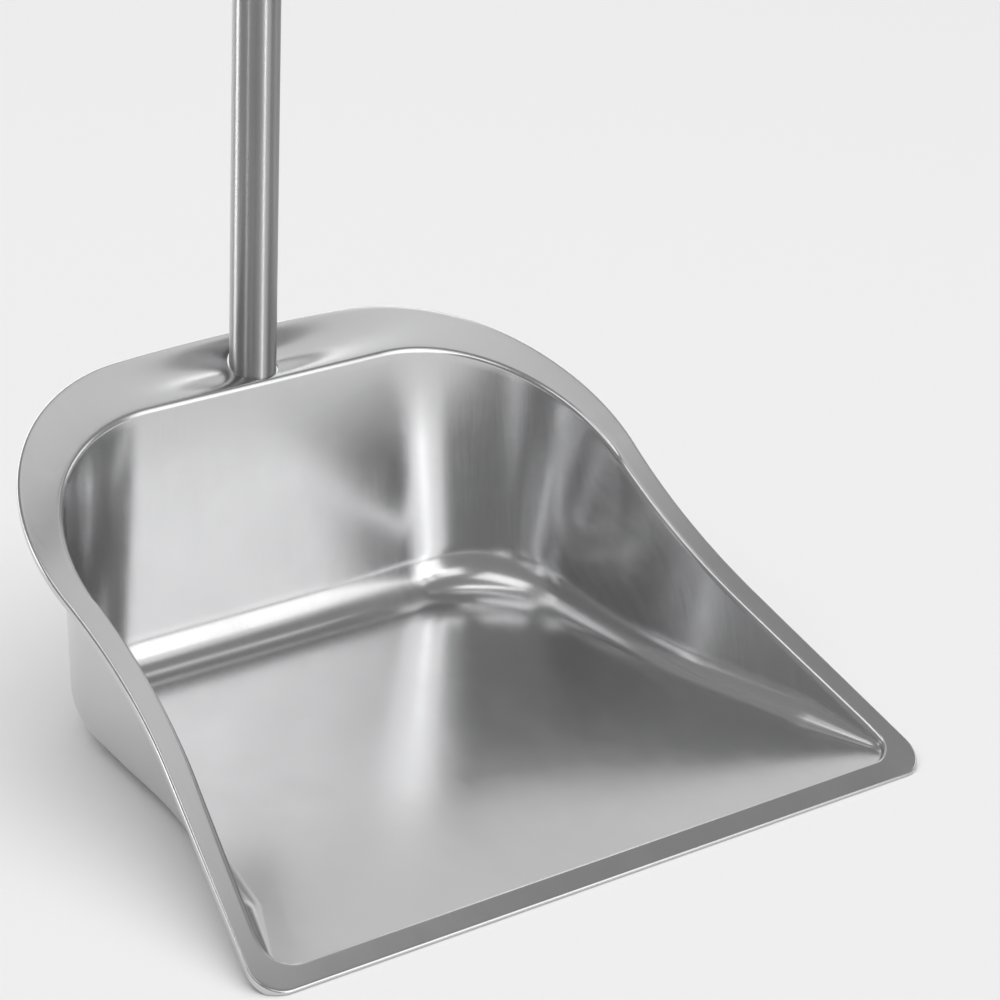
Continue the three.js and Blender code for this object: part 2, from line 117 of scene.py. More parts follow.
# ---------------------------------------------------------------- sizes of the looks alone
dish_depth = 3.0  # trough in the rear rim, which the CAD model leaves flat
dish_length = 42.0
stud_thread = {"crest": 3.95, "root": 3.4, "neck": 3.3, "tip": 3.0, "pitch": 1.25, "crest_width": 0.2}
grip_groove = {"pitch": 5.0, "width": 1.5, "depth": 0.7, "from_foot": 12.0, "to_top": 34.0}
screw_thread = {"pitch": 0.8, "depth": 0.42, "plain": 4.0, "tip": 1.6}
wire_dome = 0.3  # how far each end of a wire is domed, as a share of its radius
wire_dome_end = 0.6  # radius of the flat in the middle of the dome, likewise
hole_tool_reach = 30.0  # how far the tool for the handle's hole goes up and down from the rim

ridge_rear = pan_depth - rim_back
foot_rear = ridge_rear - back_lean
floor_front = rim_front + wall_foot
floor_rear = foot_rear - foot_bend


def rim_height(y):
    return lip_height + rim_slope * y


floor_fall = (rim_height(rim_front) - sheet) / (floor_rear - rim_front)


def floor_height(y):
    return sheet + floor_fall * (floor_rear - y)


# ---------------------------------------------------------------- mesh helpers
def unit(v):
    return v / np.maximum(np.linalg.norm(v, axis=-1, keepdims=True), 1e-9)


def angle_between(a, b):
    return np.arccos(np.clip(np.sum(a * b, axis=-1), -1, 1))


def bend_reach(first, last, radius):
    return radius / np.tan(angle_between(first, last) / 2)


def on_bend(corner, first, last, reach, share):
    """A point on the round between two straight lines that meet in a corner."""
    turn = math.pi - angle_between(first, last)
    quarter = np.maximum(turn / 4, 1e-4)
    t = (1 + np.tan((2 * share - 1) * quarter) / np.tan(quarter)) / 2
    a, b, c = (1 - t) ** 2, 2 * t * (1 - t) * np.cos(turn / 2), t**2
    a, b, c, reach = (np.asarray(x)[..., None] for x in (a, b, c, reach))
    start, end = corner + first * reach, corner + last * reach
    return (start * a + corner * b + end * c) / (a + b + c)


def add_mesh(name, points, faces, sharp=32):
    """A mesh object from points in millimetres in the row frame, smooth but for its sharp edges."""
    mesh = bpy.data.meshes.new(name)
    mesh.from_pydata([tuple(p) for p in np.asarray(points, float) * MM], [], [tuple(f) for f in faces])
    mesh.validate()
    mesh.shade_smooth()
    mesh.set_sharp_from_angle(angle=math.radians(sharp))
    piece = bpy.data.objects.new(name, mesh)
    bpy.context.scene.collection.objects.link(piece)
    return piece


def turned(name, profile, sides=96):
    """A turned piece round the handle's axis from a half profile of (radius, height) pairs. It closes
    on itself unless it starts and ends on the axis."""
    solid = profile[0][0] == 0
    rings = profile[1:-1] if solid else profile
    turn = np.linspace(0, 2 * math.pi, sides, endpoint=False)
    points = [(r * math.cos(a), handle_y + r * math.sin(a), z) for r, z in rings for a in turn]
    faces = []
    pairs = [(i, i + 1) for i in range(len(rings) - 1)]
    if not solid:
        pairs.append((len(rings) - 1, 0))
    for low, high in pairs:
        for j in range(sides):
            k = (j + 1) % sides
            faces.append((low * sides + j, low * sides + k, high * sides + k, high * sides + j))
    if solid:
        for ring, height, flip in ((0, profile[0][1], True), (len(rings) - 1, profile[-1][1], False)):
            centre = len(points)
            points.append((0, handle_y, height))
            for j in range(sides):
                a, b = ring * sides + j, ring * sides + (j + 1) % sides
                faces.append((b, a, centre) if flip else (a, b, centre))
    return add_mesh(name, points, faces)


def hole_bar(radius, low, high, sides=48):
    """A bar on the handle's axis, to drill a hole with."""
    return turned("hole_tool", [(0, low), (radius, low), (radius, high), (0, high)], sides=sides)


def softened(corners, facets=4, closed=True):
    """A profile whose corners are rounded: each corner is (radius, height, round)."""
    pts = [np.array(c[:2], float) for c in corners]
    out = []
    count = len(pts)
    for i, corner in enumerate(pts):
        size = corners[i][2] if len(corners[i]) > 2 else 0
        ends = not closed and i in (0, count - 1)
        if size == 0 or ends:
            out.append(tuple(corner))
            continue
        first = unit(pts[i - 1] - corner)
        last = unit(pts[(i + 1) % count] - corner)
        reach = bend_reach(first, last, size)
        for k in range(facets + 1):
            out.append(tuple(on_bend(corner, first, last, reach, k / facets)))
    return out


def sweep(name, path, radius, sides=20):
    """A round wire along a path of points, with slightly domed ends."""
    path = np.asarray(path, float)
    tangent = unit(np.gradient(path, axis=0))
    side = unit(np.cross(tangent[0], (0.13, 0.91, 0.4)))
    path = np.concatenate([path[:1] - tangent[0] * radius * wire_dome, path,
                           path[-1:] + tangent[-1] * radius * wire_dome])
    tangent = np.concatenate([tangent[:1], tangent, tangent[-1:]])
    sizes = np.full(len(path), radius)
    sizes[[0, -1]] = radius * wire_dome_end
    turn = np.linspace(0, 2 * math.pi, sides, endpoint=False)
    points = []
    for centre, along, size in zip(path, tangent, sizes):
        side = unit(side - along * np.dot(side, along))
        other = np.cross(along, side)
        points.extend(centre + size * (math.cos(a) * side + math.sin(a) * other) for a in turn)
    faces = []
    for i in range(len(path) - 1):
        for j in range(sides):
            k = (j + 1) % sides
            faces.append((i * sides + j, i * sides + k, (i + 1) * sides + k, (i + 1) * sides + j))
    faces.append(tuple(reversed(range(sides))))
    faces.append(tuple(range((len(path) - 1) * sides, len(path) * sides)))
    return add_mesh(name, points, faces, sharp=50)


def with_modifier(piece, kind, **settings):
    """Applies one modifier to a piece."""
    modifier = piece.modifiers.new(kind.lower(), kind)
    for key, value in settings.items():
        setattr(modifier, key, value)
    bpy.context.view_layer.update()
    shaped = bpy.data.meshes.new_from_object(piece.evaluated_get(bpy.context.evaluated_depsgraph_get()))
    piece.modifiers.clear()
    old = piece.data
    piece.data = shaped
    bpy.data.meshes.remove(old)
    return piece


def drilled(piece, tool, sharp=32):
    """Cuts a tool's shape out of a piece, and removes the tool."""
    with_modifier(piece, "BOOLEAN", operation="DIFFERENCE", solver="EXACT", object=tool)
    bpy.data.objects.remove(tool)
    piece.data.shade_smooth()
    piece.data.set_sharp_from_angle(angle=math.radians(sharp))
    return piece


def rounded_edges(piece, width, angle=35):
    """Rounds a piece's sharp edges."""
    with_modifier(piece, "BEVEL", width=width * MM, segments=2, limit_method="ANGLE",
                  angle_limit=math.radians(angle), harden_normals=False)
    piece.data.shade_smooth()
    piece.data.set_sharp_from_angle(angle=math.radians(angle))
    return piece


def finish_piece(piece, node, material, body="pan"):
    """Gives a piece its material and lets it stand for its CAD node on its body."""
    piece.data.materials.clear()
    piece.data.materials.append(material)
    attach(piece, body)
    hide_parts(node)
    return piece


# ---------------------------------------------------------------- material helpers
class Shader:
    """A principled material and short names for the nodes that feed it."""

    def __init__(self, name, **constants):
        self.material = bpy.data.materials.new(name)
        self.material.use_nodes = True
        self.nodes = self.material.node_tree.nodes
        self.links = self.material.node_tree.links
        self.bsdf = self.nodes["Principled BSDF"]
        for key, value in constants.items():
            self.bsdf.inputs[key.replace("_", " ")].default_value = value
        self.place = self.nodes.new("ShaderNodeTexCoord").outputs["Object"]

    def link(self, output, socket):
        self.links.new(output, socket)

    def round_axis(self):
        """Turns the tangent that the anisotropy follows round the Z axis of the tube."""
        node = self.nodes.new("ShaderNodeTangent")
        node.direction_type = "RADIAL"
        node.axis = "Z"
        self.link(node.outputs["Tangent"], self.bsdf.inputs["Tangent"])

    def scaled(self, x, y, z):
        node = self.nodes.new("ShaderNodeMapping")
        node.inputs["Scale"].default_value = (x, y, z)
        self.link(self.place, node.inputs["Vector"])
        return node.outputs["Vector"]

    def noise(self, vector, detail=3.0, roughness=0.5, distortion=0.0):
        node = self.nodes.new("ShaderNodeTexNoise")
        node.inputs["Scale"].default_value = 1.0
        node.inputs["Detail"].default_value = detail
        node.inputs["Roughness"].default_value = roughness
        node.inputs["Distortion"].default_value = distortion
        self.link(vector, node.inputs["Vector"])
        return node.outputs["Fac"]

    def spread(self, value, low, high, to_low, to_high):
        node = self.nodes.new("ShaderNodeMapRange")
        node.inputs["From Min"].default_value = low
        node.inputs["From Max"].default_value = high
        node.inputs["To Min"].default_value = to_low
        node.inputs["To Max"].default_value = to_high
        self.link(value, node.inputs["Value"])
        return node.outputs["Result"]

    def math(self, kind, first, second):
        node = self.nodes.new("ShaderNodeMath")
        node.operation = kind
        for socket, value in zip(node.inputs, (first, second)):
            if isinstance(value, (int, float)):
                socket.default_value = value
            else:
                self.link(value, socket)
        return node.outputs[0]

    def mix_colour(self, share, first, second):
        node = self.nodes.new("ShaderNodeMix")
        node.data_type = "RGBA"
        self.link(share, node.inputs[0])
        node.inputs[6].default_value = (*first, 1)
        node.inputs[7].default_value = (*second, 1)
        return node.outputs[2]

    def bump(self, height, distance, after=None):
        """Bumps of a depth in metres, on top of those that after gives."""
        node = self.nodes.new("ShaderNodeBump")
        node.inputs["Distance"].default_value = distance
        node.inputs["Strength"].default_value = 1.0
        self.link(height, node.inputs["Height"])
        if after is not None:
            self.link(after, node.inputs["Normal"])
        return node.outputs["Normal"]

    def colour_from(self, share, first, second):
        """Base colour between two, by where a value lies from 0.3 to 0.7."""
        self.link(self.mix_colour(self.spread(share, 0.3, 0.7, 0, 1), first, second),
                  self.bsdf.inputs["Base Color"])

    def roughness_from(self, value, low, high):
        """Roughness between two, by where a value lies from 0.3 to 0.7."""
        self.link(self.spread(value, 0.3, 0.7, low, high), self.bsdf.inputs["Roughness"])

    def normal_from(self, bumps):
        self.link(bumps, self.bsdf.inputs["Normal"])


def pan_steel():
    s = Shader("pan_steel", Metallic=1.0, Specular_IOR_Level=0.5)
    grain = s.noise(s.scaled(2600, 45, 45), detail=4, roughness=0.65)
    lines = s.noise(s.scaled(900, 14, 14), detail=3, roughness=0.6)
    cloud = s.noise(s.scaled(11, 11, 11), detail=3)
    smudge = s.noise(s.scaled(38, 30, 34), detail=5, roughness=0.6, distortion=0.4)
    tone = s.math("ADD", s.math("MULTIPLY", cloud, 0.8), s.math("MULTIPLY", lines, 0.2))
    s.colour_from(tone, (0.62, 0.62, 0.625), (0.66, 0.66, 0.665))
    rough = s.math("ADD", s.spread(smudge, 0.3, 0.75, 0.17, 0.23), s.spread(grain, 0.3, 0.7, -0.02, 0.03))
    s.link(rough, s.bsdf.inputs["Roughness"])
    waves = s.bump(s.noise(s.scaled(9, 6, 9), detail=1), 0.0006)
    s.normal_from(s.bump(grain, 0.000004, after=waves))
    return s.material


# Rough steel for the punched edge of the handle's hole. The roughness and grain are the edge's own; the
# near-black colour is painted shade for the gap round the tube.
def cut_edge_painted_shade():
    s = Shader("cut_edge_painted_shade", Metallic=1.0)
    grain = s.noise(s.scaled(900, 900, 2500), detail=4, roughness=0.6)
    # Painted shade: the edge is coloured dark so that the gap round the tube reads as shaded.
    s.colour_from(grain, (0.10, 0.10, 0.10), (0.22, 0.22, 0.22))
    s.roughness_from(grain, 0.5, 0.7)
    s.normal_from(s.bump(grain, 0.00002))
    return s.material


def tube_steel():
    """Polished round the tube, so that highlights are drawn out along it."""
    s = Shader("tube_steel", Metallic=1.0, Anisotropic=1.0, Anisotropic_Rotation=0.25)
    s.round_axis()
    lines = s.noise(s.scaled(900, 900, 5), detail=4, roughness=0.6)
    cloud = s.noise(s.scaled(25, 25, 9), detail=3)
    s.colour_from(cloud, (0.36, 0.36, 0.365), (0.42, 0.42, 0.425))
    s.roughness_from(lines, 0.36, 0.42)
    s.normal_from(s.bump(lines, 0.000003))
    return s.material


def bracket_steel():
    s = Shader("bracket_steel", Metallic=1.0)
    grain = s.noise(s.scaled(60, 900, 900), detail=4, roughness=0.6)
    cloud = s.noise(s.scaled(90, 90, 90), detail=4)
    s.colour_from(cloud, (0.46, 0.46, 0.465), (0.58, 0.58, 0.585))
    s.roughness_from(grain, 0.3, 0.45)
    s.normal_from(s.bump(grain, 0.00001))
    return s.material


def fixing_steel():
    s = Shader("fixing_steel", Metallic=1.0)
    cloud = s.noise(s.scaled(220, 220, 220), detail=5)
    turnings = s.noise(s.scaled(60, 60, 5200), detail=2)
    s.colour_from(cloud, (0.5, 0.5, 0.49), (0.62, 0.63, 0.63))
    s.roughness_from(cloud, 0.26, 0.4)
    s.normal_from(s.bump(turnings, 0.00001))
    return s.material


def plug_nylon():
    s = Shader("plug_nylon", Roughness=0.5, Subsurface_Weight=0.1)
    cloud = s.noise(s.scaled(150, 150, 150), detail=5)
    s.colour_from(cloud, (0.74, 0.72, 0.66), (0.82, 0.81, 0.77))
    s.normal_from(s.bump(s.noise(s.scaled(1500, 1500, 1500), detail=3), 0.00003))
    return s.material


def grip_rubber():
    s = Shader("grip_rubber", Sheen_Weight=0.08)
    cloud = s.noise(s.scaled(60, 60, 60), detail=5)
    pores = s.noise(s.scaled(2600, 2600, 2600), detail=4, roughness=0.6)
    s.colour_from(cloud, (0.022, 0.023, 0.025), (0.040, 0.041, 0.044))
    s.roughness_from(pores, 0.55, 0.8)
    s.normal_from(s.bump(pores, 0.00006))
    return s.material


def cap_plastic():
    s = Shader("cap_plastic")
    grain = s.noise(s.scaled(1700, 1700, 1700), detail=4, roughness=0.6)
    cloud = s.noise(s.scaled(70, 70, 70), detail=4)
    s.colour_from(cloud, (0.035, 0.037, 0.040), (0.055, 0.057, 0.061))
    s.roughness_from(grain, 0.36, 0.52)
    s.normal_from(s.bump(grain, 0.00004))
    return s.material


# ---------------------------------------------------------------- pan shell
# How many stations each run of an outline has, and how many rows each part of the section has.
counts = {"front": 14, "corner": 12, "side": 30, "waist": 22, "flank": 4, "rear": 40, "back": 18}
rows_in = {"hem": 2, "hem_bend": 6, "rim": 14, "ridge_bend": 10, "wall": 26, "foot_bend": 16, "floor": 14}


def in_plan(x, y):
    return np.array([x, y, 0.0])


def half_outline(front_y, front_half, rear_y, rear_half_width, middle_y, rounds):
    """Half of a plan outline, from the middle of the front round the right side to the back."""
    front, corner = in_plan(0, front_y), in_plan(front_half, front_y)
    waist = in_plan((front_half + rear_half_width) / 2 - rounds["waist_in"], (front_y + rear_y) / 2)
    rear, crown = in_plan(rear_half_width, rear_y), in_plan(crown_half, middle_y)
    radii = (rounds["front"], rounds["waist"], rounds["rear"])
    bends = []
    for before, here, after, radius in zip((front, corner, waist), (corner, waist, rear),
                                           (waist, rear, crown), radii):
        first, last = unit(before - here), unit(after - here)
        bends.append([here, first, last, bend_reach(first, last, radius)])
    bends[1][3] = min(bends[1][3], np.linalg.norm(rear - waist) - bends[2][3] - flank_gap)
    stations, start = [], front
    for bend, straight, bend_count in zip(bends, ("front", "side", "flank"), ("corner", "waist", "rear")):
        end = on_bend(*bend, 0.0)
        for i in range(counts[straight]):
            stations.append(start + (end - start) * i / counts[straight])
        for i in range(counts[bend_count]):
            stations.append(on_bend(*bend, i / counts[bend_count]))
        start = on_bend(*bend, 1.0)
    middle = in_plan(0, middle_y)
    for i in range(counts["back"] + 1):
        t = i / counts["back"]
        stations.append((1 - t) ** 2 * start + 2 * t * (1 - t) * crown + t**2 * middle)
    return np.array(stations)


def whole_outline(*sizes):
    right = half_outline(*sizes)
    left = right[-2:0:-1] * (-1, 1, 1)
    return np.concatenate([right, left])


def corner_share(outline):
    """1 in the middle of each rear corner of an outline, fading out with the distance from it."""
    before = sum(counts[run] for run in ("front", "corner", "side", "waist", "flank"))
    middle = outline[before + counts["rear"] // 2, :2]
    away = np.linalg.norm(np.stack([np.abs(outline[:, 0]), outline[:, 1]], axis=1) - middle, axis=1)
    return np.exp(-((away / foot_corner_fade) ** 2))


def pan_sections():
    """The sheet's upper face as rows of points, from the turned-down edge to the floor's middle."""
    outer = whole_outline(0, mouth_half, pan_depth - rear_drop, rear_half, pan_depth, outer_round)
    ridge = whole_outline(rim_front, mouth_half - rim_side, ridge_rear, rear_half - rim_rear_side,
                          ridge_rear, ridge_round)
    foot = whole_outline(floor_front, mouth_half - rim_side - wall_foot, foot_rear,
                         rear_half - rim_rear_side - side_lean, foot_rear, foot_round)
    outer[:, 2] = rim_height(outer[:, 1])
    ridge[:, 2] = rim_height(ridge[:, 1])
    foot[:, 2] = floor_height(foot[:, 1])
    along = unit(np.roll(foot, -1, 0) - np.roll(foot, 1, 0))
    inward = unit(np.stack([-along[:, 1], along[:, 0], -floor_fall * along[:, 0]], axis=1))
    down = np.tile([0.0, 0.0, -1.0], (len(outer), 1))
    hem_foot = outer.copy()
    hem_foot[:, 2] = np.maximum(0, outer[:, 2] - hem_depth)
    wall = np.linalg.norm(ridge - foot, axis=1)
    to_ridge, to_outer = unit(ridge - outer), unit(outer - ridge)
    to_foot, from_foot = unit(foot - ridge), unit(ridge - foot)
    hem_reach = bend_reach(down, to_ridge, hem_bend)
    ridge_reach = np.minimum(bend_reach(to_outer, to_foot, ridge_bend), ridge_share * wall)
    foot_radius = foot_bend + (foot_corner_bend - foot_bend) * corner_share(foot)
    foot_reach = np.clip(bend_reach(from_foot, inward, foot_radius), foot_share[0] * wall,
                         foot_share[1] * wall)
    rows = []

    def run(start, end, count):
        for i in range(count):
            rows.append(start + (end - start) * (i / count))

    def turn(corner, first, last, reach, count):
        for i in range(count):
            rows.append(on_bend(corner, first, last, reach, i / count))
        return on_bend(corner, first, last, reach, 1.0)

    run(hem_foot, on_bend(outer, down, to_ridge, hem_reach, 0.0), rows_in["hem"])
    end = turn(outer, down, to_ridge, hem_reach, rows_in["hem_bend"])
    run(end, on_bend(ridge, to_outer, to_foot, ridge_reach, 0.0), rows_in["rim"])
    end = turn(ridge, to_outer, to_foot, ridge_reach, rows_in["ridge_bend"])
    run(end, on_bend(foot, from_foot, inward, foot_reach, 0.0), rows_in["wall"])
    end = turn(foot, from_foot, inward, foot_reach, rows_in["foot_bend"])
    middle = np.array([0, (floor_front + floor_rear) / 2, 0.0])
    middle[2] = floor_height(middle[1])
    run(end, middle, rows_in["floor"])
    return np.array(rows), middle


def dished(points):
    """Sinks the rear rim into a shallow trough that runs into the handle's hole from both sides."""
    middle, half_width = (ridge_rear + pan_depth) / 2, rim_back / 2
    across = np.clip((points[..., 1] - middle) / half_width, -1, 1)
    along = points[..., 0] / dish_length
    on_rim = points[..., 2] > rim_height(points[..., 1]) - 0.5
    points[..., 2] -= dish_depth * np.cos(math.pi / 2 * across) ** 2 * np.exp(-along * along) * on_rim
    return points


def pan_shell():
    """The whole pressed sheet, with its underside one sheet's thickness below the rows."""
    rows, middle = pan_sections()
    rows = dished(rows)
    count, stations = rows.shape[:2]
    along = unit(unit(np.roll(rows, -1, 1) - rows) + unit(rows - np.roll(rows, 1, 1)))
    steps = np.concatenate([unit(rows[1:] - rows[:-1]), unit(middle - rows[-1:])])
    inner = unit(np.cross(along, steps))
    outer = np.concatenate([inner[:1], unit(np.cross(along[1:], steps[:-1]))])
    normal = unit(inner + outer)
    under = rows - sheet * normal / np.sum(normal * inner, axis=-1, keepdims=True)
    floor_normal = unit(np.array([0, floor_fall, 1.0]))
    under[-rows_in["floor"]:] = rows[-rows_in["floor"]:] - sheet * floor_normal
    points = np.concatenate([rows.reshape(-1, 3), [middle], under.reshape(-1, 3),
                             [middle - sheet * floor_normal]])
    points[:, 1] += lip_y
    size = count * stations
    faces = []
    for i in range(count - 1):
        for j in range(stations):
            k = (j + 1) % stations
            here, after = i * stations, (i + 1) * stations
            a, b, c, d = here + j, here + k, after + k, after + j
            faces.append((a, b, c, d))
            faces.append(tuple(v + size + 1 for v in (d, c, b, a)))
    last = (count - 1) * stations
    for j in range(stations):
        k = (j + 1) % stations
        faces.append((last + j, last + k, size))
        faces.append((last + k + size + 1, last + j + size + 1, 2 * size + 1))
        faces.append((j, j + size + 1, k + size + 1, k))
    shell = add_mesh("pan_steel_shell", points, faces, sharp=50)
    top = rim_height(handle_y - lip_y)
    # Not a multiple of 4 sides, so that no corner of the hole lies on the shell's middle line.
    tool = hole_bar(tube_radius + hole_gap, top - hole_tool_reach, top + hole_tool_reach, sides=158)
    return drilled(shell, tool, sharp=50)


def paint_shade_on_hole_edge(shell, material):
    """Gives the punched edge of the handle's hole a rough steel finish. Its dark colour is painted shade for
    the gap between the hole and the tube.
    """
    shell.data.materials.append(material)
    for face in shell.data.polygons:
        away = math.hypot(face.center.x, face.center.y - handle_y * MM)
        if abs(away - (tube_radius + hole_gap) * MM) < 0.1 * MM and abs(face.normal.z) < 0.5:
            face.material_index = 1


# ---------------------------------------------------------------- handle
tube_bore = tube_radius - tube_wall
plug_radius = tube_bore - fit
sleeve_bore = tube_radius + fit


def tube_piece(name, node):
    low, high = box_mm(node)
    return turned(name, softened([
        (tube_bore, low[2], 0.2), (tube_radius, low[2], 0.3),
        (tube_radius, high[2], 0.3), (tube_bore, high[2], 0.2),
    ]), sides=128)


def joint_socket(name, node):
    low, high = box_mm(node)
    flange = high[2] - plug_flange
    return turned(name, softened([
        (socket_bore, low[2], 0.3), (plug_radius, low[2], 0.6), (plug_radius, flange, 0.05),
        (tube_radius, flange, 0.25), (tube_radius, high[2], 0.25), (socket_bore, high[2], 0.5),
    ]))


def joint_stud(name, node):
    """A plug for the upper tube, with a thread below its flange."""
    low, high = box_mm(node)
    flange = low[2] + thread_length
    thread = stud_thread
    profile = [(0, low[2]), (thread["tip"], low[2])]
    height = low[2] + 1
    while height < flange - 1.3:
        profile += [(thread["crest"], height), (thread["crest"], height + thread["crest_width"]),
                    (thread["root"], height + thread["pitch"] / 2)]
        height += thread["pitch"]
    profile += [(thread["neck"], flange - 0.4), (thread["neck"], flange)]
    profile += softened([
        (thread["neck"], flange), (tube_radius, flange, 0.25), (tube_radius, flange + plug_flange, 0.25),
        (plug_radius, flange + plug_flange, 0.05), (plug_radius, high[2], 0.6), (0, high[2]),
    ], closed=False)[1:]
    return turned(name, profile)


def grip_sleeve():
    low, high = box_mm("grip_sleeve")
    outer = (high[0] - low[0]) / 2
    corners = [(sleeve_bore, low[2], 0.2), (outer, low[2], 1.6)]
    height = low[2] + grip_groove["from_foot"]
    while height < high[2] - grip_groove["to_top"]:
        corners += [(outer, height, 0.35),
                    (outer - grip_groove["depth"], height + grip_groove["width"] / 2, 0.3),
                    (outer, height + grip_groove["width"], 0.35)]
        height += grip_groove["pitch"]
    corners += [(outer, high[2], 0.5), (sleeve_bore, high[2], 0.2)]
    return turned("rubber_grip", softened(corners, facets=3), sides=128)


def grip_ferrule():
    low, high = box_mm("grip_ferrule")
    outer = (high[0] - low[0]) / 2
    return turned("steel_ferrule", softened([
        (sleeve_bore, low[2], 0.15), (outer, low[2], 0.9),
        (outer, high[2], 0.3), (sleeve_bore, high[2], 0.15),
    ]), sides=128)


pivot = Vector(next(j for j in frame["joints"] if j["name"] == "loop_swing")["pos_m"]) / MM
cap_low, cap_high = box_mm("end_cap")
cap_radius = (cap_high[0] - cap_low[0]) / 2


def pin_tool(side):
    """A bar that drills the hole for one of the loop's pins, a little deeper than the pin is long."""
    sides = 32
    reach = wire_radius + fit
    bottom, outside = cap_radius - loop_pin - fit - wire_radius * wire_dome, cap_radius + 2
    turn = np.linspace(0, 2 * math.pi, sides, endpoint=False)
    points = [(side * x, pivot.y + reach * math.cos(a), pivot.z + reach * math.sin(a))
              for x in (bottom, outside) for a in turn]
    faces = [(j, (j + 1) % sides, sides + (j + 1) % sides, sides + j) for j in range(sides)]
    faces += [tuple(reversed(range(sides))), tuple(range(sides, 2 * sides))]
    if side < 0:
        faces = [tuple(reversed(f)) for f in faces]
    return add_mesh("pin_tool", points, faces)


def end_cap():
    head = cap_high[2] - cap_height
    profile = softened([
        (0, cap_low[2]), (plug_radius, cap_low[2], 0.8), (plug_radius, head, 0), (cap_radius, head, 0.35),
        (cap_radius, cap_high[2], cap_dome), (0, cap_high[2]),
    ], facets=8, closed=False)
    cap = turned("plastic_end_cap", profile, sides=128)
    for side in (-1, 1):
        drilled(cap, pin_tool(side))
    return rounded_edges(cap, 0.25, angle=50)


def hang_loop():
    """The wire's centre line hangs straight down, and is then leaned on the grip."""
    leg = cap_radius + loop_side_gap + wire_radius
    leg_end = loop_reach - leg
    pin_end = cap_radius - loop_pin
    line = [(pin_end + x, 0) for x in np.linspace(0, leg - loop_corner - cap_radius + loop_pin, 5)[:-1]]
    for a in np.linspace(0, math.pi / 2, 9):
        line.append((leg - loop_corner * (1 - math.sin(a)), -loop_corner * (1 - math.cos(a))))
    line += [(leg, z) for z in np.linspace(-loop_corner, -leg_end, 14)[1:-1]]
    for a in np.linspace(0, math.pi / 2, 26):
        line.append((leg * math.cos(a), -leg_end - leg * math.sin(a)))
    line += [(-x, z) for x, z in reversed(line[:-1])]
    lean = math.asin((cap_radius + fit + wire_radius) / loop_reach)
    path = [(x, pivot.y + z * math.sin(lean), pivot.z + z * math.cos(lean)) for x, z in line]
    return sweep("wire_loop", path, wire_radius)


# ---------------------------------------------------------------- foot fixing
def extruded(name, outline, low, high, across):
    """An outline of (u, v) pairs drawn out along the axis that across names, 'x' or 'z'."""
    count = len(outline)
    points = []
    for level in (low, high):
        for u, v in outline:
            points.append((level, u, v) if across == "x" else (u, v, level))
    faces = [tuple(reversed(range(count))), tuple(range(count, 2 * count))]
    faces += [(i, (i + 1) % count, count + (i + 1) % count, count + i) for i in range(count)]
    return add_mesh(name, points, faces)


wall_face = back_lean / (rim_height(ridge_rear) - floor_height(foot_rear))


def back_face(z):
    """The back wall's outer face, in the frame's Y, at a height."""
    return lip_y + foot_rear + wall_face * (z - floor_height(foot_rear)) + sheet


def foot_bracket():
    """An angle whose tab follows the back wall and whose shelf carries the tube's foot."""
    low, high = box_mm("foot_bracket")
    shelf, shelf_top, tab_top = low[2], low[2] + bracket_sheet, high[2]

    def face(z):
        return back_face(z) + fit

    outline = softened([
        (face(shelf), shelf, 2.2), (high[1], shelf, 0.2), (high[1], shelf_top, 0.2),
        (face(shelf_top) + bracket_sheet, shelf_top, 1.2), (face(tab_top) + bracket_sheet, tab_top, 0.3),
        (face(tab_top), tab_top, 0.3),
    ], facets=5)
    bracket = extruded("welded_foot_bracket", outline, low[0], high[0], "x")
    drilled(bracket, hole_bar(screw_hole, shelf - 2, shelf_top + 2))
    return rounded_edges(bracket, 0.15)


def arc_points(radius, angles):
    """Points round the handle's axis, in plan."""
    return [(radius * math.cos(a), handle_y + radius * math.sin(a)) for a in angles]


def tube_saddle():
    """A strap round the back of the tube with a foot on each side, leaned with the back wall."""
    low, high = box_mm("tube_saddle")
    middle = (low[2] + high[2]) / 2
    inner = tube_radius + fit
    outer, end = inner + saddle_sheet, high[0]
    front = back_face(middle) + fit
    face, bend, half_bend = front + saddle_sheet, 1.2, 0.35
    arc = np.linspace(0, math.pi, 49)
    outline = [(end, front), (end, face), (outer + bend, face),
               (outer + half_bend, face + half_bend), (outer, face + bend)]
    outline += arc_points(outer, arc)
    outline += [(-outer, face + bend), (-outer - half_bend, face + half_bend), (-outer - bend, face),
                (-end, face), (-end, front), (-inner, front)]
    outline += [(-x, y) for x, y in arc_points(inner, arc)]
    outline += [(inner, front)]
    saddle = extruded("welded_tube_saddle", outline, low[2], high[2], "z")
    for vertex in saddle.data.vertices:
        if vertex.co.y < (face + 1) * MM:
            vertex.co.y += wall_face * (vertex.co.z - middle * MM)
    return rounded_edges(saddle, 0.22, angle=50)


def foot_plug():
    low, high = box_mm("foot_plug")
    flange = low[2] + plug_flange
    return turned("nylon_foot_plug", softened([
        (screw_hole, low[2], 0.3), (tube_radius, low[2], 0.5), (tube_radius, flange, 0.3),
        (plug_radius, flange, 0.05), (plug_radius, high[2], 0.8), (screw_hole, high[2], 0.3),
    ]))


def foot_washer():
    low, high = box_mm("foot_washer")
    return turned("flat_washer", softened([
        (screw_hole, low[2], 0.12), (high[0], low[2], 0.3),
        (high[0], high[2], 0.12), (screw_hole, high[2], 0.12),
    ]), sides=64)


def lock_washer():
    low, high = box_mm("foot_lock_washer")
    outer = (high[1] - low[1]) / 2
    half = lock_washer_slit / 2 / screw_hole
    arc = np.linspace(half, 2 * math.pi - half, 60)
    outline = arc_points(outer, arc) + arc_points(screw_hole, reversed(arc))
    washer = extruded("split_lock_washer", outline, low[2], high[2], "z")
    return rounded_edges(washer, 0.15, angle=50)


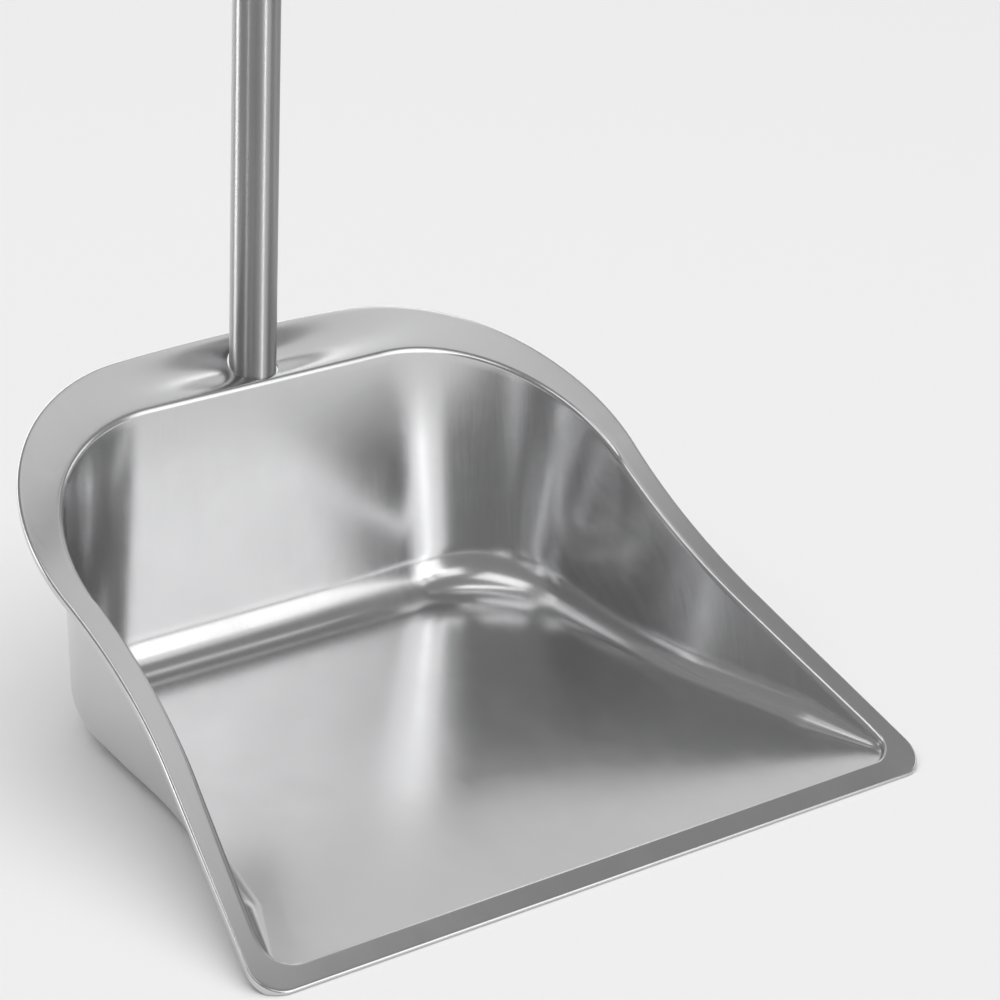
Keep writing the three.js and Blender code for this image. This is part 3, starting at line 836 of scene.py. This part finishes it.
def foot_screw():
    """A button-head screw from below, with a hexagon socket in its head."""
    low, high = box_mm("foot_screw")
    head, foot = (high[0] - low[0]) / 2, low[2]
    flat, dome, dome_height = head * 0.55, head * 0.45, 2.4
    head_top = foot + screw_head
    profile = [(0, foot), (flat, foot)]
    for a in np.linspace(0.15, 1, 8) * math.pi / 2:
        profile.append((flat + dome * math.sin(a), foot + dome_height * (1 - math.cos(a))))
    height = head_top + screw_thread["plain"]
    profile += [(head, head_top), (screw_radius, head_top), (screw_radius, height)]
    while height < high[2] - screw_thread["tip"]:
        profile += [(screw_radius, height + 0.1), (screw_radius - screw_thread["depth"], height + 0.4),
                    (screw_radius, height + 0.7)]
        height += screw_thread["pitch"]
    profile += [(screw_radius - 0.8, high[2]), (0, high[2])]
    screw = turned("button_head_screw", profile, sides=64)
    return drilled(screw, hole_bar(screw_socket / math.sqrt(3), foot - 1, foot + screw_socket_depth, sides=6))


# ---------------------------------------------------------------- build
steel, tube, bracket = pan_steel(), tube_steel(), bracket_steel()
fixing, nylon, rubber, plastic = fixing_steel(), plug_nylon(), grip_rubber(), cap_plastic()

shell = finish_piece(pan_shell(), "pan_shell", steel)
paint_shade_on_hole_edge(shell, cut_edge_painted_shade())
handle_pieces = []
for place in ("lower", "middle", "upper"):
    section = tube_piece(f"{place}_steel_tube", f"{place}_tube")
    handle_pieces.append(finish_piece(section, f"{place}_tube", tube))
for place in ("lower", "upper"):
    finish_piece(joint_socket(f"{place}_turned_socket", f"{place}_joint_socket"),
                 f"{place}_joint_socket", fixing)
    finish_piece(joint_stud(f"{place}_turned_stud", f"{place}_joint_stud"),
                 f"{place}_joint_stud", fixing)
finish_piece(foot_bracket(), "foot_bracket", bracket)
finish_piece(tube_saddle(), "tube_saddle", bracket)
finish_piece(foot_plug(), "foot_plug", nylon)
finish_piece(foot_washer(), "foot_washer", fixing)
finish_piece(lock_washer(), "foot_lock_washer", fixing)
finish_piece(foot_screw(), "foot_screw", fixing)
finish_piece(grip_ferrule(), "grip_ferrule", tube)
finish_piece(grip_sleeve(), "grip_sleeve", rubber)
finish_piece(end_cap(), "end_cap", plastic)
finish_piece(hang_loop(), "hang_loop", tube, body="hang_loop")


# ---------------------------------------------------------------- floor, light and camera
def studio_floor(half=6000, height=-0.2):
    corners = [(-half, -half, height), (half, -half, height), (half, half, height), (-half, half, height)]
    floor = add_mesh("studio_floor", corners, [(0, 1, 2, 3)])
    s = Shader("floor_paint", Roughness=1.0, Specular_IOR_Level=0.0)
    s.bsdf.inputs["Base Color"].default_value = (0.86, 0.86, 0.86, 1)
    floor.data.materials.append(s.material)


# Each softbox: azimuth clockwise from behind the pan, elevation, angle across, angle up, brightness.
# The angles are in degrees, as seen from the middle of the dome.
softboxes = {
    "front_key": (162, 22, 46, 40, 1.4),
    "front_strip": (167, 26, 6, 60, 1.4),
    "front_high": (192, 45, 26, 18, 1.2),
    "right_front_high": (144, 48, 26, 18, 0.8),
    "right_strip": (100, 25, 22, 20, 1.1),
    "rim_light": (60, 61, 46, 28, 0.5),
    "dish_light": (53, 45, 16, 8, 1.6),
    "backdrop_low": (10, 8, 90, 16, 2.4),
    "backdrop_high": (30, 32, 90, 24, 0.5),
    "left_low": (312, 8, 16, 22, 2.8),
    "left_high": (255, 60, 60, 18, 1.2),
    "overhead": (300, 80, 40, 30, 1.8),
}
# The same for lamps that light nothing but the three tubes.
handle_strips = {
    "handle_left_strip": (312, 15, 12, 60, 5.0),
    "handle_middle_strip": (253, 15, 4, 60, 3.0),
    "handle_front_strip": (167, 15, 5, 60, 8.0),
}
dome_radius = 1.5  # in metres, as all of the lights
dome_centre = Vector((0, 0, 0.05))


def panel(name, away, distance, width, height, brightness):
    """A flat lamp that faces the pan from a given direction."""
    light = bpy.data.lights.new(name, "AREA")
    light.shape = "RECTANGLE"
    light.size, light.size_y = width, height
    light.energy = math.pi * width * height * brightness
    lamp = bpy.data.objects.new(name, light)
    lamp.location = dome_centre + away * distance
    lamp.rotation_euler = (-away).to_track_quat("-Z", "Y").to_euler()
    lamp.visible_camera = False
    bpy.context.scene.collection.objects.link(lamp)
    return lamp


def softbox(name, azimuth, elevation, across, up, brightness):
    """A lamp that shines in the steel and leaves no patch on the floor."""
    azimuth, elevation, across, up = (math.radians(a) for a in (azimuth, elevation, across, up))
    away = Vector((math.sin(azimuth) * math.cos(elevation), math.cos(azimuth) * math.cos(elevation),
                   math.sin(elevation)))
    width = 2 * dome_radius * math.cos(elevation) * math.tan(across / 2)
    lamp = panel(name, away, dome_radius, width, 2 * dome_radius * math.tan(up / 2), brightness)
    lamp.visible_diffuse = False
    return lamp


def floor_fill(distance=3.0, side=6.0, brightness=1.3):
    """Lights the floor evenly from above, without showing in the steel."""
    lamp = panel("floor_fill", Vector((0, 0, 1)), distance, side, side, brightness)
    lamp.visible_glossy = False


def light_only(lamp, pieces):
    """Keeps a light to some pieces."""
    lit = bpy.data.collections.new(lamp.name)
    for piece in pieces:
        lit.objects.link(piece)
    lamp.light_linking.receiver_collection = lit


def studio_world(strength=0.3):
    world = bpy.data.worlds.new("studio")
    world.use_nodes = True
    world.node_tree.nodes["Background"].inputs["Color"].default_value = (1, 1, 1, 1)
    world.node_tree.nodes["Background"].inputs["Strength"].default_value = strength
    bpy.context.scene.world = world


def photo_camera():
    """The camera stands in front of the pan, off to its left, and looks down on it."""
    azimuth, elevation, roll = (math.radians(a) for a in (-37.23, 25.08, 2.44))
    distance, lens, sensor = 1411.97, 132.12, 36.0
    target, target_side, target_up = Vector((0, lip_y + 124.0, 41.33)), 28.56, 55.70
    back = Vector((math.sin(azimuth) * math.cos(elevation), -math.cos(azimuth) * math.cos(elevation),
                   math.sin(elevation)))
    right = (-back).cross(Vector((0, 0, 1))).normalized()
    up = right.cross(-back)
    side = right * math.cos(roll) + up * math.sin(roll)
    top = up * math.cos(roll) - right * math.sin(roll)
    aim = target + side * target_side + top * target_up
    data = bpy.data.cameras.new("photo_camera")
    data.lens, data.sensor_width = lens, sensor
    data.clip_end = 50  # metres
    camera = bpy.data.objects.new("photo_camera", data)
    turn = Matrix((side, top, back)).transposed().to_4x4()
    camera.matrix_world = Matrix.Translation((aim + back * distance) * MM) @ turn
    bpy.context.scene.collection.objects.link(camera)
    bpy.context.scene.camera = camera


studio_floor()
studio_world()
for name, sizes in softboxes.items():
    softbox(name, *sizes)
for name, sizes in handle_strips.items():
    light_only(softbox(name, *sizes), handle_pieces)
floor_fill()
photo_camera()
bpy.context.scene.view_settings.view_transform = "Standard"
